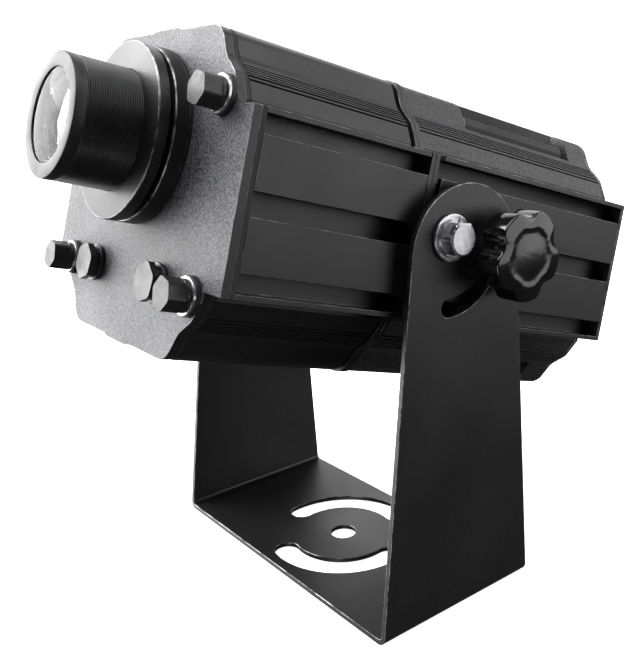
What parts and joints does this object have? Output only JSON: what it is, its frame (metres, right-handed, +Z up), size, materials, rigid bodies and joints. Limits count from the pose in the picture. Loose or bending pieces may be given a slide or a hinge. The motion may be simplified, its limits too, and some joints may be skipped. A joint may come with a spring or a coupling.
{
  "type": "gobo projector",
  "caption": "Outdoor gobo projector: sealed finned head with a threaded focusing lens, tilting in a bent sheet steel yoke and clamped by star knobs.",
  "frame": {"origin": "centre of the yoke's mounting hole on the underside of its base", "axes": "+X towards the right arm, seen from behind the projector's lens; -Y towards the front, where the lens points when the head is level; +Z up, along the mounting hole"},
  "size_m": [0.2204, 0.2911, 0.2749],
  "materials": {
    "powder_coat": "fine textured black powder coat on sheet steel",
    "coated_casting": "fine textured black powder coat on cast and extruded aluminium",
    "black_rubber": "matt black rubber",
    "bright_steel": "bright turned stainless steel",
    "gloss_plastic": "glossy black moulding",
    "matte_plastic": "matt black nylon",
    "black_anodised": "satin black anodised",
    "clear_glass": "polished coated glass",
    "gobo_glass": "printed glass",
    "bare_aluminium": "machined",
    "led_board": "white solder mask with a yellow emitter",
    "copper": "drawn copper"
  },
  "bodies": {
    "yoke": {"yoke_base": "powder_coat", "yoke_arm_right": "powder_coat", "yoke_arm_left": "powder_coat"},
    "head": {"front_plate": "coated_casting", "front_gasket": "black_rubber", "front_housing": "coated_casting", "seam_flange_front": "coated_casting", "seam_gasket": "black_rubber", "seam_flange_rear": "coated_casting", "rear_housing": "coated_casting", "top_fins": "coated_casting", "bottom_fins": "coated_casting", "rear_gasket": "black_rubber", "rear_plate": "coated_casting", "front_sink_right": "coated_casting", "front_sink_left": "coated_casting", "rear_sink_right": "coated_casting", "rear_sink_left": "coated_casting", "sink_screws": "bright_steel", "tie_rods": "bright_steel", "front_bolts": "bright_steel", "front_bolt_washers": "bright_steel", "front_bolt_seats": "black_rubber", "vent_plugs": "gloss_plastic", "vent_seals": "black_rubber", "lens_flange": "coated_casting", "lens_flange_seal": "black_rubber", "lens_flange_nut": "bare_aluminium", "optics_tube": "bare_aluminium", "gobo_holder": "bare_aluminium", "gobo_disc": "gobo_glass", "condenser_lenses": "clear_glass", "condenser_rings": "bare_aluminium", "led_module": "led_board", "heat_spreader": "bare_aluminium", "heat_pipes": "copper", "driver_tray": "bare_aluminium", "driver_case": "gloss_plastic", "terminal_block": "matte_plastic", "gland_body": "gloss_plastic", "gland_seal": "black_rubber", "gland_dome": "gloss_plastic", "gland_locknut": "gloss_plastic", "pivot_bosses": "bare_aluminium", "pivot_bolts": "bright_steel", "pivot_washers": "bright_steel", "pivot_spring_washers": "bright_steel", "side_nuts": "bright_steel", "side_spacers": "matte_plastic"},
    "right_washer": {"knob_washer_right": "bright_steel"},
    "right_knob": {"knob_right": "gloss_plastic", "knob_stud_right": "bright_steel"},
    "left_washer": {"knob_washer_left": "bright_steel"},
    "left_knob": {"knob_left": "gloss_plastic", "knob_stud_left": "bright_steel"},
    "lens_cell": {"front_lens": "clear_glass", "rear_lens": "clear_glass", "lens_spacers": "black_anodised"},
    "focus_barrel": {"focus_barrel": "black_anodised"},
    "lock_ring": {"lock_ring": "coated_casting"}
  },
  "joints": [
    {"name": "head_tilt", "type": "hinge", "parent": "yoke", "child": "head", "pos_m": [0, 0, 0.1799], "axis": [-1, 0, 0], "range_deg": [-17, 73]},
    {"name": "right_knob_travel", "type": "slide", "parent": "head", "child": "right_washer", "axis": [1, 0, 0], "range_m": [0, 0.0025]},
    {"name": "right_knob_turn", "type": "hinge", "parent": "right_washer", "child": "right_knob", "pos_m": [0, 0.02936, 0.16904], "axis": [1, 0, 0], "range_deg": [0, 720.5]},
    {"name": "left_knob_travel", "type": "slide", "parent": "head", "child": "left_washer", "axis": [-1, 0, 0], "range_m": [0, 0.0025]},
    {"name": "left_knob_turn", "type": "hinge", "parent": "left_washer", "child": "left_knob", "pos_m": [0, 0.02936, 0.16904], "axis": [-1, 0, 0], "range_deg": [0, 720.5]},
    {"name": "focus_travel", "type": "slide", "parent": "head", "child": "lens_cell", "axis": [0, -0.9563, 0.2924], "range_m": [-0.008, 0.005]},
    {"name": "focus_turn", "type": "hinge", "parent": "lens_cell", "child": "focus_barrel", "pos_m": [0, 0.00633, 0.19888], "axis": [0, -0.9563, 0.2924], "range_deg": [-2880.5, 1800.5]},
    {"name": "lock_ring_turn", "type": "hinge", "parent": "head", "child": "lock_ring", "pos_m": [0, 0.00633, 0.19888], "axis": [0, -0.9563, 0.2924], "range_deg": [0, 45]}
  ],
  "couplings": [
    {"joint": "right_knob_turn", "follows": "right_knob_travel", "rad_per_m": 5026.5},
    {"joint": "left_knob_turn", "follows": "left_knob_travel", "rad_per_m": 5026.5},
    {"joint": "focus_turn", "follows": "focus_travel", "rad_per_m": 6283.2}
  ]
}
